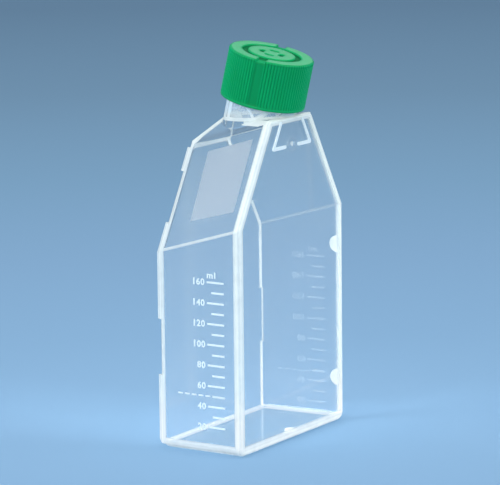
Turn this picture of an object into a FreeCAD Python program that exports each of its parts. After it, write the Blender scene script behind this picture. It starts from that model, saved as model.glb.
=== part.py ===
import FreeCAD, Part
import math
import os

# Cell culture flask, 75 cm2 class, with a canted neck and a vented screw cap.
# Millimetres.  The flask stands on its base end: +Z runs up to the neck, X runs
# across the broad faces, -Y is the welded cover and +Y the growth face.
# The origin is the middle of the base end.

Vector = FreeCAD.Vector

# Body
BODY_WIDTH = 75.2          # across the growth face
BODY_DEPTH = 37.0          # growth face to cover face
DRAFT = 1.2                # each thin side leans out by this towards the cover
WALL = 1.5
COVER_THICKNESS = 1.8
SHOULDER_BACK = 75.4       # height at which the growth face starts to narrow
SHOULDER_FRONT = 86.2      # the same on the cover face
TOP_FRONT_HEIGHT = 124.3   # top edge of the cover face
TOP_FRONT_WIDTH = 31.6
TOP_BACK_WIDTH = 30.2      # top edge of the growth face
CREST_WIDTH = 7.2          # top of the ramp behind the neck
CREST_DROP = 2.5           # crest below the cover's top edge
CREST_MARGIN = 0.45        # neck to crest
BASE_CORNER_RADIUS = 3.6
COVER_EDGE_RADIUS = 0.8

# Stacking rails along both long edges of the growth face
RAIL_HEIGHT = 1.4
RAIL_WIDTH = 2.2
RAIL_EDGE_RADIUS = 0.5
RAIL_SPANS = ((1.4, 28.0), (49.6, 85.4), (103.8, 111.9))

# Cover details
LUG_RADIUS = 3.3           # half-round lugs that locate the cover in the body
LUG_THICKNESS = 1.0
LUG_CLEARANCE = 0.1
SIDE_LUG_HEIGHTS = (17.0, 70.0)
BASE_LUG_X = -4.0
MARK_RELIEF = 0.3          # raised lines of the lying-fill mark
MARK_LINE = 0.7
MARK_RING_RADIUS = 3.0
MARK_DOT_RADIUS = 0.9
MARK_RING_DROP = 10.3      # ring centre below the cover's top edge
BRACKET_TOP_X = 7.9        # upper end of each bracket arm
BRACKET_CORNER_X = 13.4
BRACKET_TAIL_X = 4.9
BRACKET_TOP_DROP = 1.1
BRACKET_HEIGHT = 9.2

# Neck
NECK_TILT = 13.5           # degrees, towards the cover side
NECK_BORE = 23.6
NECK_WALL = 1.5
NECK_LENGTH = 23.2         # platform to mouth, along the axis
NECK_SETBACK = 0.95        # cover face to the neck's outside, at the platform
NECK_LIP_RADIUS = 0.4

# Screw cap and its vent membrane
CAP_DIAMETER = 32.5
CAP_HEIGHT = 18.7
CAP_TOP = 2.4
CAP_WALL = 1.55            # behind the ribs
CAP_EDGE_CHAMFER = 0.45
RIB_COUNT = 90
RIB_HEIGHT = 0.35
RIB_LAND = 0.45            # share of the rib pitch at the crest
RIB_FLANK = 0.15           # share of the pitch in each flank
RIM_HEIGHT = 0.9           # plain ring at the cap's lower edge
GROOVE_OUTER = 22.8
GROOVE_INNER = 18.0
GROOVE_DEPTH = 0.9
NOTCH_WIDTH = 3.6          # two notches lead from the groove to the outside
NOTCH_ANGLE = 16.0         # degrees from +X
FLUTE_DEPTH = 0.5          # smooth flutes below the notches
VENT_CIRCLE = 7.8
VENT_WIDTH = 1.9
VENT_LENGTH = 3.9          # along the vent circle
VENT_COUNT = 4
SEAL_HEIGHT = 3.0          # plug ring that enters the neck
SEAL_WALL = 1.0
SEAL_CLEARANCE = 0.08
MOUTH_CLEARANCE = 0.05
SEAT_DEPTH = 0.5
MEMBRANE_DIAMETER = 16.6
MEMBRANE_THICKNESS = 0.4
MEMBRANE_CLEARANCE = 0.05

# Worked out from the sizes above
HALF_WIDTH = BODY_WIDTH / 2
BACK_Y = BODY_DEPTH / 2
FRONT_Y = -BODY_DEPTH / 2
SEAM_Y = FRONT_Y + COVER_THICKNESS
NECK_RADIUS = NECK_BORE / 2 + NECK_WALL
NECK_ROOT = 0.6 * NECK_RADIUS
NECK_Y = FRONT_Y + NECK_SETBACK + NECK_RADIUS
CREST_Y = NECK_Y + NECK_RADIUS + CREST_MARGIN
CREST_HEIGHT = TOP_FRONT_HEIGHT - CREST_DROP
CAP_RADIUS = CAP_DIAMETER / 2
CAP_TOP_LEVEL = NECK_LENGTH + MOUTH_CLEARANCE + CAP_TOP
REACH = 4 * (TOP_FRONT_HEIGHT + BODY_WIDTH)


def mirrored(point):
    return Vector(-point.x, point.y, point.z)


def plane_through(a, b, c):
    """A plane as (point, normal), with the normal away from the flask's middle."""
    normal = (b - a).cross(c - a).normalize()
    middle = Vector(0, 0, SHOULDER_BACK / 2)
    if normal.dot(a - middle) < 0:
        normal = -normal
    return a, normal


def trimmed(solid, point, normal):
    """The solid without what lies beyond the plane."""
    beyond = Part.makeBox(REACH, REACH, REACH, Vector(-REACH / 2, -REACH / 2, 0))
    beyond.Placement = FreeCAD.Placement(point, FreeCAD.Rotation(Vector(0, 0, 1), normal))
    return solid.cut(beyond)


def edges_along(shape, test):
    """The edges whose two ends both pass the test."""
    return [e for e in shape.Edges if all(test(v.Point) for v in e.Vertexes)]


# The body's corner points, on the +X side
fold_back = Vector(HALF_WIDTH, BACK_Y, SHOULDER_BACK)
fold_front = Vector(HALF_WIDTH + DRAFT, FRONT_Y, SHOULDER_FRONT)
side_foot = Vector(HALF_WIDTH, BACK_Y, 0)
top_front = Vector(TOP_FRONT_WIDTH / 2, FRONT_Y, TOP_FRONT_HEIGHT)
crest = Vector(CREST_WIDTH / 2, CREST_Y, CREST_HEIGHT)
slant = plane_through(fold_back, fold_front, top_front)


def slant_height(x, y):
    """Height of the slanted shoulder face over a point on the +X side."""
    point, normal = slant
    return point.z - (normal.x * (x - point.x) + normal.y * (y - point.y)) / normal.z


top_back = Vector(TOP_BACK_WIDTH / 2, BACK_Y, slant_height(TOP_BACK_WIDTH / 2, BACK_Y))

PAIRED_FACES = (
    plane_through(side_foot, fold_back, fold_front),
    slant,
    plane_through(top_back, crest, top_front),
)
SINGLE_FACES = (
    plane_through(top_back, mirrored(top_back), crest),
    plane_through(crest, mirrored(crest), top_front),
)


def body_form(inset, back, corner_radius):
    """The convex outline of the flask, with every wall but the cover moved in."""
    half = HALF_WIDTH + DRAFT + 1
    form = Part.makeBox(2 * half, back - FRONT_Y, TOP_FRONT_HEIGHT - inset,
                        Vector(-half, FRONT_Y, inset))
    for point, normal in PAIRED_FACES:
        form = trimmed(form, point - normal * inset, normal)
        form = trimmed(form, mirrored(point - normal * inset), mirrored(normal))
    for point, normal in SINGLE_FACES:
        form = trimmed(form, point - normal * inset, normal)
    for sign in (-1, 1):
        corner = edges_along(form, lambda p: abs(p.z - inset) < 0.01 and sign * p.x > 0)
        form = form.makeFillet(corner_radius, corner)
    return form


def slab(y_low, y_high):
    """Everything between two planes across Y."""
    return Part.makeBox(REACH, y_high - y_low, REACH, Vector(-REACH / 2, y_low, -REACH / 2))


def neck_place(level):
    """A place on the neck's axis, at a height above the platform, along the axis."""
    turn = FreeCAD.Rotation(Vector(1, 0, 0), NECK_TILT)
    point, normal = SINGLE_FACES[1]
    platform = point.z - normal.y * (NECK_Y - point.y) / normal.z
    return FreeCAD.Placement(Vector(0, NECK_Y, platform) + turn.multVec(Vector(0, 0, level)), turn)


def neck_cylinder(radius, low, high):
    """A cylinder on the neck's axis between two levels."""
    rod = Part.makeCylinder(radius, high - low)
    rod.Placement = neck_place(low)
    return rod


def rail_strip(sign):
    """The band along one long edge of the growth face, seen along Y."""
    slope = Vector(top_back.x - fold_back.x, 0, top_back.z - fold_back.z).normalize()
    across = Vector(-slope.z, 0, slope.x)
    shoulder = fold_back.z + RAIL_WIDTH * (across.z - (1 + across.x) / slope.x * slope.z)
    tip = Vector(top_back.x, 0, top_back.z) + slope * RAIL_WIDTH
    outline = [
        Vector(fold_back.x + 1, 0, 0),
        Vector(fold_back.x + 1, 0, fold_back.z),
        tip - across,
        tip + across * RAIL_WIDTH,
        Vector(fold_back.x - RAIL_WIDTH, 0, shoulder),
        Vector(fold_back.x - RAIL_WIDTH, 0, 0),
    ]
    points = [Vector(sign * p.x, BACK_Y, p.z) for p in outline]
    face = Part.Face(Part.makePolygon(points + points[:1]))
    return face.extrude(Vector(0, RAIL_HEIGHT, 0))


def stacking_rails(form):
    """Rails on the growth face, in the same outline as the body, with gaps."""
    rails = []
    for sign in (-1, 1):
        strip = rail_strip(sign).common(form)
        for low, high in RAIL_SPANS:
            rails.append(strip.common(Part.makeBox(REACH, REACH, high - low,
                                                   Vector(-REACH / 2, -REACH / 2, low))))
    return rails


def flask_body():
    """Growth face, thin sides, base end, shoulders and neck, moulded as one."""
    outer = body_form(0, BACK_Y, BASE_CORNER_RADIUS)
    deep = body_form(0, BACK_Y + RAIL_HEIGHT, BASE_CORNER_RADIUS)
    far = edges_along(deep, lambda p: abs(p.y - BACK_Y - RAIL_HEIGHT) < 0.01)
    deep = deep.makeFillet(RAIL_EDGE_RADIUS, far)
    cavity = body_form(WALL, BACK_Y - WALL, BASE_CORNER_RADIUS - WALL)
    shell = outer.cut(slab(FRONT_Y - 1, SEAM_Y))
    neck = neck_cylinder(NECK_RADIUS, -NECK_ROOT, NECK_LENGTH)
    neck = neck.cut(outer.common(slab(FRONT_Y - 1, SEAM_Y)))
    shell = shell.fuse([neck] + stacking_rails(deep))
    bore = neck_cylinder(NECK_BORE / 2, 1 - NECK_ROOT, NECK_LENGTH)
    shell = shell.cut([cavity, bore]).removeSplitter()
    mouth = neck_place(NECK_LENGTH)
    lip = edges_along(shell, lambda p: abs(mouth.inverse().multVec(p).z) < 0.01)
    return shell.makeFillet(NECK_LIP_RADIUS, lip)


def bar(a, b, width, height):
    """A raised line with round ends on the cover face, between (x, z) points."""
    start = Vector(a[0], FRONT_Y, a[1])
    end = Vector(b[0], FRONT_Y, b[1])
    along = end - start
    side = along.cross(Vector(0, 1, 0)).normalize() * (width / 2)
    corners = [start + side, end + side, end - side, start - side]
    solid = Part.Face(Part.makePolygon(corners + corners[:1])).extrude(Vector(0, -height, 0))
    for point in (start, end):
        solid = solid.fuse(Part.makeCylinder(width / 2, height, point, Vector(0, -1, 0)))
    return solid


def fill_mark():
    """Ring, dot and two brackets raised on the cover face under the neck."""
    outward = Vector(0, -1, 0)
    centre = Vector(0, FRONT_Y, TOP_FRONT_HEIGHT - MARK_RING_DROP)
    ring = Part.makeCylinder(MARK_RING_RADIUS, MARK_RELIEF, centre, outward)
    ring = ring.cut(Part.makeCylinder(MARK_RING_RADIUS - MARK_LINE, MARK_RELIEF, centre, outward))
    pieces = [ring, Part.makeCylinder(MARK_DOT_RADIUS, MARK_RELIEF, centre, outward)]
    high = TOP_FRONT_HEIGHT - BRACKET_TOP_DROP - MARK_LINE
    low = high - BRACKET_HEIGHT
    for sign in (-1, 1):
        corner = (sign * BRACKET_CORNER_X, low)
        pieces.append(bar((sign * BRACKET_TOP_X, high), corner, MARK_LINE, MARK_RELIEF))
        pieces.append(bar(corner, (sign * BRACKET_TAIL_X, low), MARK_LINE, MARK_RELIEF))
    return pieces


def locating_lugs():
    """Half-round lugs on the cover's inside that lie along the body's walls."""
    reach = slab(SEAM_Y, SEAM_Y + 2 * LUG_RADIUS)
    lean = DRAFT * (COVER_THICKNESS + LUG_RADIUS) / BODY_DEPTH
    outside = HALF_WIDTH + DRAFT - lean - WALL - LUG_CLEARANCE
    lugs = []
    for height in SIDE_LUG_HEIGHTS:
        disc = Part.makeCylinder(LUG_RADIUS, LUG_THICKNESS,
                                 Vector(outside - LUG_THICKNESS, SEAM_Y, height), Vector(1, 0, 0))
        lugs.append(disc.common(reach))
    disc = Part.makeCylinder(LUG_RADIUS, LUG_THICKNESS,
                             Vector(BASE_LUG_X, SEAM_Y, WALL + LUG_CLEARANCE))
    lugs.append(disc.common(reach))
    return lugs


def cover_plate():
    """Flat cover welded on the open side of the body."""
    plate = body_form(0, BACK_Y, BASE_CORNER_RADIUS).common(slab(FRONT_Y - 1, SEAM_Y))
    rim = edges_along(plate, lambda p: abs(p.y - FRONT_Y) < 0.01)
    below = [e for e in rim if e.CenterOfMass.z < TOP_FRONT_HEIGHT - COVER_EDGE_RADIUS]
    plate = plate.makeFillet(COVER_EDGE_RADIUS, below)
    return plate.fuse(fill_mark() + locating_lugs()).removeSplitter()


def ribbed_outline(root, crest_radius):
    """Closed outline of the cap's side, with one trapezoid for each rib."""
    pitch = 2 * math.pi / RIB_COUNT
    land = RIB_LAND * pitch / 2
    foot = land + RIB_FLANK * pitch
    points = []
    for i in range(RIB_COUNT):
        middle = (i + 0.5) * pitch
        for radius, offset in ((root, -foot), (crest_radius, -land), (crest_radius, land), (root, foot)):
            angle = middle + offset
            points.append(Vector(radius * math.cos(angle), radius * math.sin(angle), 0))
    return Part.Wire(Part.makePolygon(points + points[:1]))


def kidney(circle, width, length, depth):
    """A slot with round ends, bent along a circle about the cap's axis."""
    middle = circle / 2
    inner = middle - width / 2
    outer = middle + width / 2
    spread = (length - width) / circle

    def at(radius, angle):
        return Vector(radius * math.cos(angle), radius * math.sin(angle), 0)

    def arc(a, b, c):
        return Part.Arc(a, b, c).toShape()

    far_end = at(middle, spread) + at(width / 2, spread + math.pi / 2)
    near_end = at(middle, -spread) + at(width / 2, -spread - math.pi / 2)
    edges = [
        arc(at(outer, -spread), at(outer, 0), at(outer, spread)),
        arc(at(outer, spread), far_end, at(inner, spread)),
        arc(at(inner, spread), at(inner, 0), at(inner, -spread)),
        arc(at(inner, -spread), near_end, at(outer, -spread)),
    ]
    return Part.Face(Part.Wire(edges)).extrude(Vector(0, 0, depth))


def ring_solid(outer, inner, low, high):
    """A plain ring about Z."""
    body = Part.makeCylinder(outer, high - low, Vector(0, 0, low))
    return body.cut(Part.makeCylinder(inner, high - low, Vector(0, 0, low)))


def screw_cap():
    """Ribbed cap, made with its top at Z = 0 and then set on the neck."""
    root = CAP_RADIUS - RIB_HEIGHT
    hollow = root - CAP_WALL
    inside = -CAP_TOP
    body = Part.makeCylinder(root, CAP_HEIGHT, Vector(0, 0, -CAP_HEIGHT))
    ribs = Part.Face(ribbed_outline(root, CAP_RADIUS)).extrude(Vector(0, 0, CAP_HEIGHT - RIM_HEIGHT))
    ribs.translate(Vector(0, 0, RIM_HEIGHT - CAP_HEIGHT))
    rim = Part.makeCylinder(CAP_RADIUS, RIM_HEIGHT, Vector(0, 0, -CAP_HEIGHT))
    body = body.fuse([ribs, rim])
    bevel = Part.makeCone(CAP_RADIUS + CAP_HEIGHT - CAP_EDGE_CHAMFER, CAP_RADIUS - CAP_EDGE_CHAMFER,
                          CAP_HEIGHT, Vector(0, 0, -CAP_HEIGHT))
    body = body.common(bevel)
    cuts = [
        Part.makeCylinder(hollow, CAP_HEIGHT - CAP_TOP, Vector(0, 0, -CAP_HEIGHT)),
        ring_solid(GROOVE_OUTER / 2, GROOVE_INNER / 2, -GROOVE_DEPTH, 0),
        Part.makeCylinder(MEMBRANE_DIAMETER / 2 + MEMBRANE_CLEARANCE, SEAT_DEPTH, Vector(0, 0, inside)),
    ]
    for turn in (NOTCH_ANGLE, NOTCH_ANGLE + 180):
        notch = Part.makeBox(CAP_RADIUS, NOTCH_WIDTH, GROOVE_DEPTH,
                             Vector(GROOVE_INNER / 2 + 0.5, -NOTCH_WIDTH / 2, -GROOVE_DEPTH))
        flute = Part.makeBox(CAP_RADIUS, NOTCH_WIDTH, CAP_HEIGHT - RIM_HEIGHT,
                             Vector(CAP_RADIUS - FLUTE_DEPTH, -NOTCH_WIDTH / 2, RIM_HEIGHT - CAP_HEIGHT))
        for cut in (notch, flute):
            cut.rotate(Vector(0, 0, 0), Vector(0, 0, 1), turn)
            cuts.append(cut)
    for i in range(VENT_COUNT):
        vent = kidney(VENT_CIRCLE, VENT_WIDTH, VENT_LENGTH, CAP_TOP)
        vent.translate(Vector(0, 0, -CAP_TOP))
        vent.rotate(Vector(0, 0, 0), Vector(0, 0, 1), NOTCH_ANGLE + 360 * i / VENT_COUNT)
        cuts.append(vent)
    body = body.cut(cuts)
    plug = NECK_BORE / 2 - SEAL_CLEARANCE
    body = body.fuse(ring_solid(plug, plug - SEAL_WALL, inside - SEAL_HEIGHT, inside))
    body = body.removeSplitter()
    body.Placement = neck_place(CAP_TOP_LEVEL)
    return body


def filter_membrane():
    """Vent membrane in its seat under the cap's slots."""
    top = CAP_TOP_LEVEL - CAP_TOP + SEAT_DEPTH - MEMBRANE_CLEARANCE
    return neck_cylinder(MEMBRANE_DIAMETER / 2, top - MEMBRANE_THICKNESS, top)


NODES = {
    "flask_body": flask_body,
    "cover_plate": cover_plate,
    "screw_cap": screw_cap,
    "filter_membrane": filter_membrane,
}

os.makedirs("parts", exist_ok=True)
for name, make in NODES.items():
    shape = make()
    shape.exportStep("parts/" + name + ".step")
    print(name, len(shape.Solids), "solid", round(shape.Volume), "mm3", shape.isValid())
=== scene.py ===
# Cell culture flask with a canted neck and a vented screw cap: its looks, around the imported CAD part.
import itertools
import math

import bmesh
import bpy
from mathutils import Matrix, Vector

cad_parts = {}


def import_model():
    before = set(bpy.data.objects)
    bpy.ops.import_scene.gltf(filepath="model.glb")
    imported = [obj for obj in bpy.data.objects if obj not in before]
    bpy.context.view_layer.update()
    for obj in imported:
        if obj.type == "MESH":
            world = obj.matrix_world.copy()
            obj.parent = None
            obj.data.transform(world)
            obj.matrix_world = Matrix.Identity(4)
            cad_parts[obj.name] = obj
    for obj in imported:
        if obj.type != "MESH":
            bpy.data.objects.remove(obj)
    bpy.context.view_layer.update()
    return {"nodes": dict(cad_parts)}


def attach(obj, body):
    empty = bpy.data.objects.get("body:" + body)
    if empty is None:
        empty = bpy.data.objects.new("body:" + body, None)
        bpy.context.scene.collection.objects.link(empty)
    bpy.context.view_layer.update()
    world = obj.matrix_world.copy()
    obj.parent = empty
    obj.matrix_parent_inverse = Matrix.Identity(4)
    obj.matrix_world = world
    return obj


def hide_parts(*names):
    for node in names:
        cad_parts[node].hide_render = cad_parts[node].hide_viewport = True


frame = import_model()

# -------- sizes, in millimetres
MM = 0.001                 # one, in metres
HALF_WIDTH = 37.6          # growth face, half its width
DRAFT = 1.2                # the cover face is wider by this on each side
BACK_Y = 18.5              # growth face
FRONT_Y = -18.5            # cover face
WALL = 1.5
COVER_THICKNESS = 1.8
SEAM_Y = FRONT_Y + COVER_THICKNESS
SEAM_GAP = 0.03            # air line of the weld
FOLD_BACK = 75.4           # heights where the thin sides turn into the shoulders
FOLD_FRONT = 86.2
TOP_HEIGHT = 124.3         # of the cover face
TOP_FRONT = 15.8           # half width of the cover face's top edge
TOP_BACK = 14.6            # half width of the growth face's top edge
CREST_HALF = 3.6           # half width of the crest behind the neck
CREST_HEIGHT = 123.0
CREST_GAP = 0.45           # between the neck and the crest

BASE_RADIUS = 3.6          # fillet between base and thin sides
RIM_RADIUS = 1.7           # round the cover face
TOP_RADIUS = 0.8           # its top edge, beside the neck
GROWTH_RADIUS = 3.4        # round the growth face
EDGE_RADIUS = 0.45         # of the other outer edges
SOFT_RADIUS = 3.0          # between the shoulders and the facets beside the neck
INNER_RADIUS = 0.15        # of the cavity's edges
RAIL_HEIGHT = 1.4
RAIL_WIDTH = 2.2
RAIL_SPANS = ((1.4, 28.0), (49.6, 85.4), (103.8, 111.9))
RAIL_SPARE = 1.0           # of a rail's strip outside the flask, before it is cut
RAIL_OVER = 0.1            # and above the rail

NECK_TILT = math.radians(13.5)
NECK_RADIUS = 13.3
BORE_RADIUS = 11.8
NECK_LENGTH = 23.2         # from the platform
NECK_ROOT = 0.6 * NECK_RADIUS        # its length below the platform
BORE_ROOT = NECK_ROOT - 1.0
NECK_GAP = 0.95            # between the cover face and the neck
NECK_Y = FRONT_Y + NECK_GAP + NECK_RADIUS
NECK_FOOT_HEIGHT = 123.03  # of the neck's axis at the platform
CREST_Y = NECK_Y + NECK_RADIUS + CREST_GAP

THREAD_LOW = 9.4           # along the neck
THREAD_HIGH = 19.4
THREAD_PITCH = 4.0
THREAD_HEIGHT = 0.9
THREAD_SUNK = 0.3          # of its root in the wall that carries it
THREAD_FOOT = 0.3          # half its width at the root, in pitches
THREAD_LAND = 0.12         # half its width at the crest, in pitches
THREAD_END = 0.4           # share of that width at its two ends
THREAD_TAPER = 8           # an end tapers over one part in this many of the thread
THREAD_STEPS = 48          # a turn

CAP_HOLLOW_RADIUS = 14.35
GROOVE_LEVEL = 24.75       # floor of the cap's groove, along the neck
GROOVE_RADIUS = 11.4
FLUTE_RADIUS = 15.75       # between the cap's ribs

LUG_RADIUS = 3.3
LUG_THICKNESS = 1.0
LUG_GAP = 0.1
SIDE_LUG_HEIGHTS = (17.0, 70.0)
BASE_LUG_RADIUS = 2.4
BASE_LUG_HEIGHT = 1.9

MARK_RELIEF = 0.3          # of the fill mark: a ring round a dot, between two brackets
MARK_LINE = 0.7
MARK_CENTRE = TOP_HEIGHT - 10.3
MARK_RING_RADIUS = 3.0
MARK_DOT_RADIUS = 0.9
BRACKET_HIGH = TOP_HEIGHT - 1.1 - MARK_LINE
BRACKET_LOW = BRACKET_HIGH - 9.2
BRACKET_TOP_X = 7.9
BRACKET_CORNER_X = 13.4
BRACKET_END_X = 4.9

INK_THICKNESS = 0.03
INK_LIFT = 0.015
BRACKET_INK = 1.35         # width of the brackets in ink
BRACKET_INK_LIFT = 0.01
FIELD_CORNERS = ((-7.3, 111.7), (12.8, 117.6), (13.5, 92.3), (-6.2, 87.2))  # towards the cover, and height
SCALES = {                 # per side: height of the 20 ml tick, rise per ml, shift towards the cover
    -1: (10.4, 0.3954, 0.0),
    1: (5.7, 0.4164, -2.0),
}
LONG_TICK = (4.0, 11.6)
SHORT_TICK = (6.0, 11.6)
TICK_WIDTH = 0.75
LABEL_HEIGHT = 2.6
LABEL_EDGE = 3.1           # side of the labels next to the ticks
CELL = 1.95                # width of a figure with its spacing
CELL_MARGIN = 0.12
UNIT_LETTERS = (("m", 0.0, 2.9, 1.75), ("l", 3.2, 0.9, 2.5))         # each one's place, width and height
UNIT_EDGE = 4.0
UNIT_WIDTH = 4.6
UNIT_RISE = 1.5            # above the highest tick
DASHES = 7
DASH_START = -9.6
DASH_PITCH = 3.1
DASH_LENGTH = 2.1
DASH_RISE = 11.9           # above the 20 ml tick
DASH_WIDTH = 0.55


def mirrored(vector):
    """A point or a normal on the flask's other half."""
    return Vector((-vector.x, vector.y, vector.z))


def plane_through(a, b, c):
    """A plane as (point, normal), with the normal away from the flask's middle."""
    normal = (b - a).cross(c - a).normalized()
    if normal.dot(a - Vector((0, 0, FOLD_BACK / 2))) < 0:
        normal = -normal
    return a, normal


def height_on(plane, x, y):
    point, normal = plane
    return point.z - (normal.x * (x - point.x) + normal.y * (y - point.y)) / normal.z


fold_back = Vector((HALF_WIDTH, BACK_Y, FOLD_BACK))
fold_front = Vector((HALF_WIDTH + DRAFT, FRONT_Y, FOLD_FRONT))
side_foot = Vector((HALF_WIDTH, BACK_Y, 0))
top_front = Vector((TOP_FRONT, FRONT_Y, TOP_HEIGHT))
crest = Vector((CREST_HALF, CREST_Y, CREST_HEIGHT))
side_plane = plane_through(side_foot, fold_back, fold_front)
slant_plane = plane_through(fold_back, fold_front, top_front)
top_back = Vector((TOP_BACK, BACK_Y, height_on(slant_plane, TOP_BACK, BACK_Y)))
facet_plane = plane_through(top_back, crest, top_front)
ramp_plane = plane_through(top_back, mirrored(top_back), crest)
platform_plane = plane_through(crest, mirrored(crest), top_front)
base_plane = (Vector((0, 0, 0)), Vector((0, 0, -1)))
cover_plane = (Vector((0, FRONT_Y, 0)), Vector((0, -1, 0)))
growth_plane = (Vector((0, BACK_Y, 0)), Vector((0, 1, 0)))

neck_turn = Matrix.Rotation(NECK_TILT, 4, "X")
neck_foot = Vector((0, NECK_Y, NECK_FOOT_HEIGHT))
neck_matrix = Matrix.Translation(neck_foot) @ neck_turn
neck_axis = (neck_turn @ Vector((0, 0, 1))).normalized()


# -------- mesh helpers
PARALLEL = 1e-7            # determinant below which three planes share no corner
ON_PLANE = 1e-3            # how far a solid's corner may lie outside a plane
SAME_CORNER = 2e-3         # nearer corners are one
SAME_FACE = math.radians(0.3)
SLIVER = 0.003             # booleans leave shorter edges, which are removed
SMOOTH_ANGLE = math.radians(28)


def mesh_object(name, bm):
    """A mesh object of a bmesh, which is freed."""
    mesh = bpy.data.meshes.new(name)
    bmesh.ops.recalc_face_normals(bm, faces=bm.faces)
    bm.to_mesh(mesh)
    bm.free()
    made = bpy.data.objects.new(name, mesh)
    bpy.context.scene.collection.objects.link(made)
    return made


def applied(obj):
    """The object with its modifiers applied."""
    graph = bpy.context.evaluated_depsgraph_get()
    mesh = bpy.data.meshes.new_from_object(obj.evaluated_get(graph))
    obj.modifiers.clear()
    obj.data = mesh
    return obj


def combine(obj, others, operation):
    """Boolean of obj with each of the others, which are used up."""
    for other in others:
        step = obj.modifiers.new("combine", "BOOLEAN")
        step.operation = operation
        step.solver = "MANIFOLD"
        step.object = other
        applied(obj)
        bpy.data.objects.remove(other)
    return obj


def convex_solid(name, planes):
    """The closed solid inside all the planes."""
    bm = bmesh.new()
    for trio in itertools.combinations(planes, 3):
        rows = Matrix([normal for _, normal in trio])
        if abs(rows.determinant()) < PARALLEL:
            continue
        corner = rows.inverted() @ Vector([normal.dot(point) for point, normal in trio])
        if all((corner - point).dot(normal) < ON_PLANE for point, normal in planes):
            bm.verts.new(corner)
    bmesh.ops.remove_doubles(bm, verts=bm.verts, dist=SAME_CORNER)
    bmesh.ops.convex_hull(bm, input=bm.verts)
    bmesh.ops.dissolve_limit(bm, angle_limit=SAME_FACE, verts=bm.verts, edges=bm.edges)
    return mesh_object(name, bm)


def bevel_edges(obj, radius_of, segments):
    """Rounds each edge by the radius that radius_of gives for its two ends and its faces' normals."""
    bm = bmesh.new()
    bm.from_mesh(obj.data)
    bm.normal_update()
    weights = bm.edges.layers.float
    layer = weights.get("bevel_weight_edge") or weights.new("bevel_weight_edge")
    radii = {}
    for edge in bm.edges:
        normals = [face.normal.copy() for face in edge.link_faces]
        radii[edge] = radius_of([v.co for v in edge.verts], normals)
    largest = max(radii.values())
    for edge, radius in radii.items():
        edge[layer] = radius / largest
    bm.to_mesh(obj.data)
    bm.free()
    step = obj.modifiers.new("round", "BEVEL")
    step.limit_method = "WEIGHT"
    step.width = largest
    step.segments = segments
    step.use_clamp_overlap = False
    return applied(obj)


def box(name, low, high):
    bm = bmesh.new()
    bmesh.ops.create_cube(bm, size=1)
    size = Vector(high) - Vector(low)
    middle = (Vector(high) + Vector(low)) / 2
    place = Matrix.Translation(middle) @ Matrix.Diagonal((*size, 1))
    bmesh.ops.transform(bm, matrix=place, verts=bm.verts)
    return mesh_object(name, bm)


def cylinder(name, radius, low, high, matrix, segments):
    bm = bmesh.new()
    bmesh.ops.create_cone(bm, cap_ends=True, segments=segments, radius1=radius, radius2=radius,
                          depth=high - low)
    place = matrix @ Matrix.Translation((0, 0, (low + high) / 2))
    bmesh.ops.transform(bm, matrix=place, verts=bm.verts)
    return mesh_object(name, bm)


def prism(name, outline, along):
    """A flat outline of points, extruded by a vector."""
    bm = bmesh.new()
    face = bm.faces.new([bm.verts.new(p) for p in outline])
    side = bmesh.ops.extrude_face_region(bm, geom=[face])["geom"]
    moved = [v for v in side if isinstance(v, bmesh.types.BMVert)]
    bmesh.ops.translate(bm, vec=along, verts=moved)
    return mesh_object(name, bm)


def thread(name, root, crest_radius, low, high):
    """A right-handed thread ridge round the neck's axis, with tapered ends."""
    count = int((high - low) / THREAD_PITCH * THREAD_STEPS)
    sunk = root - math.copysign(THREAD_SUNK, crest_radius - root)
    bm = bmesh.new()
    rings = []
    for i in range(count + 1):
        angle = 2 * math.pi * i / THREAD_STEPS
        fade = min(1.0, THREAD_TAPER * i / count, THREAD_TAPER * (count - i) / count)
        top = root + (crest_radius - root) * fade
        centre = low + THREAD_PITCH * i / THREAD_STEPS
        width = THREAD_END + (1 - THREAD_END) * fade
        foot = THREAD_FOOT * THREAD_PITCH * width
        land = THREAD_LAND * THREAD_PITCH * width
        ring = []
        for radius, lift in ((sunk, -foot), (top, -land), (top, land), (sunk, foot)):
            point = Vector((radius * math.cos(angle), radius * math.sin(angle), centre + lift))
            ring.append(bm.verts.new(neck_matrix @ point))
        rings.append(ring)
    for a, b in zip(rings, rings[1:]):
        for k in range(4):
            bm.faces.new((a[k], b[k], b[(k + 1) % 4], a[(k + 1) % 4]))
    bm.faces.new(rings[0])
    bm.faces.new(rings[-1][::-1])
    return mesh_object(name, bm)


def mended(obj):
    """The object without the slivers that booleans leave."""
    bm = bmesh.new()
    bm.from_mesh(obj.data)
    bmesh.ops.remove_doubles(bm, verts=bm.verts, dist=SLIVER)
    bmesh.ops.dissolve_degenerate(bm, dist=SLIVER, edges=bm.edges)
    bm.to_mesh(obj.data)
    bm.free()
    return obj


def dressed(obj, material, body):
    """Scales a finished piece to metres, smooths it and gives it its material and body."""
    obj.data.transform(Matrix.Scale(MM, 4))
    obj.data.materials.clear()
    obj.data.materials.append(material)
    obj.data.polygons.foreach_set("use_smooth", [True] * len(obj.data.polygons))
    obj.data.set_sharp_from_angle(angle=SMOOTH_ANGLE)
    level = obj.modifiers.new("flat_faces", "WEIGHTED_NORMAL")
    level.keep_sharp = True
    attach(obj, body)


# -------- material helpers
def add(tree, kind, inputs=None, **settings):
    """A shader node. Each input is a plain value or another node's output."""
    made = tree.nodes.new(kind)
    for name, value in settings.items():
        setattr(made, name, value)
    for name, value in (inputs or {}).items():
        if isinstance(value, bpy.types.NodeSocket):
            tree.links.new(value, made.inputs[name])
        else:
            made.inputs[name].default_value = value
    return made


def maths(tree, operation, a, b=0.0, clamp=False):
    return add(tree, "ShaderNodeMath", {0: a, 1: b}, operation=operation, use_clamp=clamp).outputs[0]


def times(tree, a, b):
    return maths(tree, "MULTIPLY", a, b)


def minus(tree, a, b, clamp=False):
    return maths(tree, "SUBTRACT", a, b, clamp)


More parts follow.
